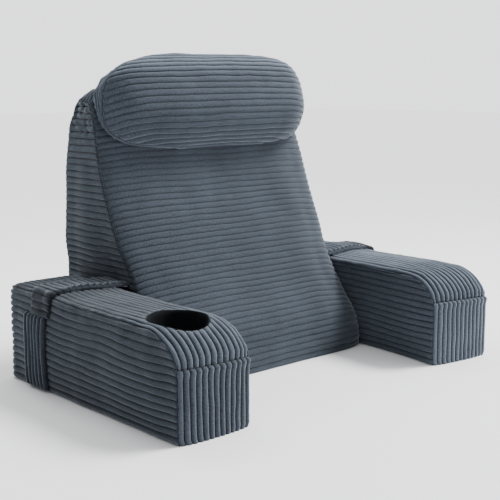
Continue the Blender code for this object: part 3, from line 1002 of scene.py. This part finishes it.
def make_neck_roll(back_form):
    roll = NeckRoll()
    panels = [
        Panel(
            roll.front, roll.ribs, spacing=0.005, seed=41, slant=4.0,
            depth=lambda places: graded(places[..., 2], *ROLL_DEPTH),
            painted_light=lambda places: graded(places[..., 2], *ROLL_PAINTED_LIGHT),
        ),
        Panel(
            # Painted light: the band round the roll's ends is painted lighter.
            roll.band, ROLL_BAND_RIBS, spacing=0.004, seed=42, depth=0.0044, painted_light=1.30,
            closed=True, sewn=(False, False, True, True),
        ),
        Panel(roll.rear, roll.rear_ribs, spacing=0.008, seed=43, depth=0.0030),
    ]
    obj, _ = sew("neck_roll_cushion", panels, stitch_roll, pucker_roll)
    subtract(obj, grown(back_form, ROLL_CLEARANCE, "roll_clearance"))
    return obj


# ---- the cup pocket ----


def cut_pocket(arm):
    floor = ARM_HEIGHT - POCKET_DEPTH - LINING_WALL - GAP
    depth = POCKET_DEPTH + POCKET_CUT
    place = (*POCKET_PLACE, floor + depth / 2)
    bpy.ops.mesh.primitive_cylinder_add(
        vertices=POCKET_SIDES, radius=POCKET_RADIUS + GAP, depth=depth, location=place
    )
    subtract(arm, bpy.context.object)


def make_lining(form):
    """A thin dark bag whose bound rim follows the arm's top."""
    floor = ARM_HEIGHT - POCKET_DEPTH
    turns = np.linspace(0, 2 * math.pi, POCKET_SIDES, endpoint=False)

    def circle(radius):
        return POCKET_PLACE[0] + radius * np.cos(turns), POCKET_PLACE[1] + radius * np.sin(turns)

    rim = []
    for x, y in zip(*circle(POCKET_RADIUS)):
        hit = form.tree.ray_cast(Vector((x, y, 2 * ARM_HEIGHT)), Vector((0, 0, -1)))
        rim.append(hit[0].z)
    top = np.array(rim) - LINING_SINK
    inner, outer = POCKET_RADIUS - LINING_WALL, POCKET_RADIUS - LINING_GAP
    # Each ring's radius, its share of the way up the wall, its own lift and its share of the folds:
    # along the floor, up the wall, over the bound rim and down outside.
    rings = [(inner * share, 0.0, 0.0, 0.0) for share in (0.0, 0.25, 0.5, 0.75, 0.93, 0.99)]
    rings += [(inner, share, 0.0, 1.0) for share in np.linspace(0.03, 0.97, 26)]
    rings += [(inner + 0.0003, 1.0, 0.0012, 0.0), (inner + 0.0009, 1.0, 0.0016, 0.0)]
    rings += [(outer, 1.0, 0.0, 0.0), (outer, 0.9, 0.0, 0.0), (outer, 0.0, -LINING_WALL, 0.0)]
    grid = []
    for radius, share, lift, folds in rings:
        z = floor + share * (top - floor) + lift
        place = space(np.cos(turns) * 0.045, np.sin(turns) * 0.045, z * 0.5)
        reach = radius - folds * LINING_FOLD * (1 + relief(place, LINING_WRINKLES))
        grid.append(space(*circle(reach), z))
    grid = np.array(grid)
    builder = Builder()
    numbers = builder.add(grid, 1.0, grid, closed=True)
    builder.close(numbers[-1])
    return builder.make("cup_lining_cloth")


# ---- the straps ----


def strap_over(side):
    """(the place of the band over the arm's top and down its outer side, how many ribs it has)."""
    inner = BACK_HALF_WIDTH + 2 * GAP
    outer = OVERALL_WIDTH / 2
    bend = arc((outer - STRAP_BEND, ARM_HEIGHT - STRAP_BEND), STRAP_BEND, 90, -90)
    path = Line([(inner, ARM_HEIGHT), *bend, (outer, STRAP_OVER_FOOT)])
    ribs = round(path.length / RIB_PITCH)

    def place(number, share):
        distance = number / ribs * path.length
        point = path.at(distance)
        down = rise(distance - path.length, *STRAP_NARROWING)
        front = STRAP_FRONT[side] - STRAP_SKEW[side] * (1 - distance / path.length)
        width = STRAP_WIDTH + (STRAP_DROP_WIDTH - STRAP_WIDTH) * down
        y = front - STRAP_DROP_SHIFT * down + share * width
        return space(SIDES[side] * point[..., 0], y, point[..., 1] + arm_rise(y, point[..., 1]))

    return place, ribs


def strap_up(side):
    """(the place of the band with upright ribs on the arm's outer side, how many ribs it has)."""
    front = STRAP_FRONT[side] + STRAP_UP_SHIFT

    def place(number, share):
        z = STRAP_UP_FOOT + share * (STRAP_UP_TOP - STRAP_UP_FOOT)
        y = front + number / STRAP_UP_RIBS * STRAP_UP_WIDTH
        return space(SIDES[side] * OVERALL_WIDTH / 2, y, z + arm_rise(y, z))

    return place, STRAP_UP_RIBS


def make_strap(name, form, place, ribs, *, thickness, seed, painted_light, folded=False):
    """A band laid on the arm.

    If it is folded, its front edge on top of the arm shows its ribs as two rows of beads, one above the
    other, and its painted light and shade is a pair: lighter on top, and painted darker down the side.
    """
    panel = Panel(place, ribs, spacing=STRAP_SPACING, seed=seed)
    rows, along, wanted = panel.fine()
    places, normals = form.lay(wanted)
    height = panel.rib_height(rows, along)
    at_edge = panel.edge_distance(rows)
    full = rounded(np.minimum(panel.end_distance(along), at_edge) / STRAP_EDGE)
    groove = STRAP_GROOVE
    if folded:
        on_top = 1 - rise(rows, ribs - STRAP_DROP_RIBS, 1.5)[:, None]
        second = rise(along, *BEAD_ROW[0]) - rise(along, *BEAD_ROW[1])
        height = height + on_top * second * (np.roll(height, len(RIB_STEPS) // 2, axis=0) - height)
        steps = sum(0.5 * rounded((along - start) / length) for start, length in BEAD_STEPS)
        steps = np.minimum(steps, rounded(at_edge / STRAP_EDGE))
        full = full + on_top * (along < BEADS_REACH) * (steps - full)
        at_front = on_top * (1 - rise(along, *FRONT_FADE))
        thickness = thickness * (1 + FRONT_SWELL * at_front)
        groove = groove + FRONT_GROOVE * at_front
        # Painted light on top of the arm, painted shade down its side.
        painted_light = painted_light[1] + (painted_light[0] - painted_light[1]) * on_top
    base = GAP + relief(places, *CLOTH_LUMPS) + pucker_arm(places)
    lift = base + thickness * full * (groove + (1 - groove) * height)
    top = places + normals * lift[..., None]
    under = places + normals * base[..., None]
    builder = Builder()
    place_map = space(along, rows[:, None] * RIB_PITCH, float(seed))
    painted_light = np.broadcast_to(painted_light, height.shape)
    # Its rib heights give painted shade in the grooves and painted highlights on the crests.
    upper = builder.add(top, height, place_map, painted_light=painted_light)
    every = slice(None, None, len(RIB_STEPS))
    lower = builder.add(under[every], 0.0, place_map[every], painted_light=painted_light[every])
    builder.stitch(around(upper), around(lower))
    return builder.make(name)


# ---- materials ----


def new_material(name):
    material = bpy.data.materials.new(name)
    material.use_nodes = True
    return material, material.node_tree, material.node_tree.nodes["Principled BSDF"]


def feed(node, values):
    """Links each of the node's inputs to what it is given, or sets it where that is no socket."""
    for socket, value in values.items():
        if isinstance(value, bpy.types.NodeSocket):
            node.id_data.links.new(value, node.inputs[socket])
        else:
            node.inputs[socket].default_value = value


def add_node(tree, kind, values=(), output=0, **settings):
    """Adds a node, and returns one of its outputs."""
    node = tree.nodes.new("ShaderNode" + kind)
    for name, value in settings.items():
        setattr(node, name, value)
    feed(node, dict(values))
    return node.outputs[output]


def math_node(tree, operation, *values):
    return add_node(tree, "Math", enumerate(values), operation=operation)


def weighed(tree, *parts):
    """The sum of some values, each with its weight."""
    total, *others = [math_node(tree, "MULTIPLY", value, weight) for value, weight in parts]
    for other in others:
        total = math_node(tree, "ADD", total, other)
    return total


def noise_node(tree, vector, scale, detail, roughness):
    values = {"Vector": vector, "Scale": scale, "Detail": detail, "Roughness": roughness}
    return add_node(tree, "TexNoise", values, "Fac")


def cloth_noise(tree, place, fineness, detail):
    """Noise on the cloth itself: that fine along the rib, across it and between panels."""
    stretched = add_node(tree, "VectorMath", {0: place, 1: fineness}, operation="MULTIPLY")
    return noise_node(tree, stretched, 1.0, detail, 0.6)


def add_bump(tree, shader, height, strength, distance):
    bump = add_node(tree, "Bump", {"Height": height, "Strength": strength, "Distance": distance})
    feed(shader, {"Normal": bump})


def ramp(tree, value, stops):
    node = tree.nodes.new("ShaderNodeValToRGB")
    tree.links.new(value, node.inputs[0])
    elements = node.color_ramp.elements
    while len(elements) < len(stops):
        elements.new(0.5)
    for element, (place, colour) in zip(elements, stops):
        element.position = place
        element.color = (*colour, 1.0)
    return node.outputs["Color"]


def corduroy_material(name, colour):
    """Plush ribs: painted shade in the grooves, painted highlights on the crests, fine pile across the
    rib, and brushed patches.
    """
    material, tree, shader = new_material(name)
    rib = add_node(tree, "Attribute", output="Fac", attribute_name="rib")
    painted_light = add_node(tree, "Attribute", output="Fac", attribute_name="painted_light")
    place = add_node(tree, "Attribute", output="Vector", attribute_name="cloth_place")
    spot = add_node(tree, "TexCoord", output="Object")

    pile = cloth_noise(tree, place, (2600.0, 700.0, 1.0), 3.0)
    tufts = cloth_noise(tree, place, (420.0, 260.0, 1.0), 2.0)
    brushed = noise_node(tree, spot, 11.0, 3.0, 0.55)

    ruffled = math_node(tree, "MULTIPLY", math_node(tree, "SUBTRACT", tufts, 0.5), 0.35)
    painted_shade_and_highlight = ((0.0, 0.22), (0.35, 0.60), (0.80, 0.95), (1.0, 1.15))  # painted shade and highlight, from a groove's floor to a crest
    stops = [(height, [channel * amount for channel in colour]) for height, amount in painted_shade_and_highlight]
    ribs = ramp(tree, math_node(tree, "ADD", rib, ruffled), stops)
    grain = weighed(tree, (pile, 0.25), (brushed, 0.25), (tufts, 0.5))
    spans = {"From Min": 0.25, "From Max": 0.75, "To Min": 0.30, "To Max": 1.70}
    lightness = add_node(tree, "MapRange", {"Value": grain, **spans})
    # Painted light and shade: each panel's colour is scaled lighter or darker.
    lightness = math_node(tree, "MULTIPLY", lightness, painted_light)
    mixed = add_node(tree, "VectorMath", {0: ribs, "Scale": lightness}, operation="SCALE")

    add_bump(tree, shader, weighed(tree, (pile, 0.45), (tufts, 0.8)), strength=0.65, distance=0.0009)
    feed(shader, {
        "Base Color": (*colour, 1.0),
        "Roughness": 0.92,
        "Specular IOR Level": 0.15,
        "Sheen Weight": 0.75,
        "Sheen Roughness": 0.34,
        "Sheen Tint": (0.66, 0.74, 0.84, 1.0),
    })
    feed(shader, {"Base Color": mixed})
    return material


def lining_material():
    """Plain near-black cloth, with a fine weave."""
    material, tree, shader = new_material("lining_weave")
    spot = add_node(tree, "TexCoord", output="Object")
    values = {"Vector": spot, "Scale": 260.0, "Distortion": 0.6}
    threads = [add_node(tree, "TexWave", values, "Fac", bands_direction=direction) for direction in "XZ"]
    weave = math_node(tree, "MULTIPLY", *threads)
    colour = ramp(tree, weave, [(0.0, (0.004, 0.005, 0.006)), (1.0, (0.014, 0.016, 0.020))])
    add_bump(tree, shader, weave, strength=0.4, distance=0.0004)
    feed(shader, {
        "Base Color": (0.012, 0.013, 0.016, 1.0),
        "Roughness": 0.95,
        "Specular IOR Level": 0.1,
    })
    feed(shader, {"Base Color": colour})
    return material


def dress(obj, material, node):
    obj.data.materials.clear()
    obj.data.materials.append(material)
    obj.data.polygons.foreach_set("material_index", np.zeros(len(obj.data.polygons), np.int32))
    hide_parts(node)
    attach(obj, "root")


# ---- floor, light and camera ----


def make_floor():
    bpy.ops.mesh.primitive_plane_add(size=24.0, location=(0, 0, 0))
    floor = bpy.context.object
    floor.name = "floor"
    material, _, shader = new_material("pale_floor")
    feed(shader, {"Base Color": (0.92, 0.92, 0.92, 1.0), "Roughness": 0.9})
    floor.data.materials.append(material)


def make_world():
    """Soft light all round, and a brighter backdrop behind the object."""
    world = bpy.data.worlds.new("studio")
    world.use_nodes = True
    tree = world.node_tree
    spot = add_node(tree, "TexCoord", output="Generated")
    values = {0: spot, 1: BACKDROP_DIRECTION}
    toward = add_node(tree, "VectorMath", values, "Value", operation="DOT_PRODUCT")
    height = add_node(tree, "SeparateXYZ", {0: spot}, "Z")

    def fade(value, start, end, low, high):
        spans = {"Value": value, "From Min": start, "From Max": end, "To Min": low, "To Max": high}
        return add_node(tree, "MapRange", spans, interpolation_type="SMOOTHSTEP")

    behind = fade(toward, 0.35, 0.85, AMBIENT, BACKDROP)
    above = fade(height, 0.45, 0.95, 0.0, OVERHEAD)
    strength = math_node(tree, "ADD", behind, above)
    feed(tree.nodes["Background"], {"Color": (0.97, 0.98, 1.0, 1.0), "Strength": strength})
    bpy.context.scene.world = world


def put_up(name, data, place, back):
    """Adds a lamp or a camera there, which looks the way opposite to back."""
    obj = new_object(name, data)
    obj.location = place
    obj.rotation_euler = back.to_track_quat("Z", "Y").to_euler()
    return obj


def make_lights():
    key = bpy.data.lights.new("key", "SUN")
    key.energy = KEY_POWER
    key.angle = KEY_ANGLE
    put_up("key", key, (0, 0, 0), Vector(KEY_FROM))
    for name, (place, power, size) in LAMPS.items():
        lamp = bpy.data.lights.new(name, "AREA")
        lamp.energy = power
        lamp.size = size
        put_up(name, lamp, place, Vector(place) - Vector(LAMP_TARGET))


def make_camera():
    camera = bpy.data.cameras.new("camera")
    camera.lens = CAMERA_LENS
    camera.sensor_width = 36.0
    level, up = math.cos(CAMERA_ELEVATION), math.sin(CAMERA_ELEVATION)
    back = Vector((math.sin(CAMERA_AZIMUTH) * level, -math.cos(CAMERA_AZIMUTH) * level, up))
    place = Vector(CAMERA_TARGET) + back * CAMERA_DISTANCE
    bpy.context.scene.camera = put_up("camera", camera, place, back)


def main():
    make_camera()
    make_world()
    make_lights()
    make_floor()

    corduroy = corduroy_material("slate_corduroy", CORDUROY)
    # Painted shade: a darker copy of the corduroy for the straps.
    shaded_strap_cloth = corduroy_material("strap_corduroy_painted_shade", SHADED_STRAP_CLOTH)

    backrest, back_form = make_backrest()
    dress(backrest, corduroy, "backrest")

    roll = make_neck_roll(back_form)
    dress(roll, corduroy, "neck_roll")

    for side in SIDES:
        arm, form = make_arm(side)
        if side == "left":
            cut_pocket(arm)
            lining = make_lining(form)
            dress(lining, lining_material(), "cup_lining")
        dress(arm, corduroy, "arm_" + side)
        over = make_strap(
            "strap_over_band_" + side, form, *strap_over(side),
            thickness=STRAP_THICKNESS, seed=61, painted_light=STRAP_PAINTED_LIGHT[side], folded=True,
        )
        dress(over, shaded_strap_cloth, "strap_over_" + side)
        up = make_strap(
            "strap_up_band_" + side, form, *strap_up(side),
            thickness=STRAP_UP_THICKNESS, seed=62, painted_light=STRAP_UP_PAINTED_LIGHT,
        )
        dress(up, shaded_strap_cloth, "strap_up_" + side)


main()
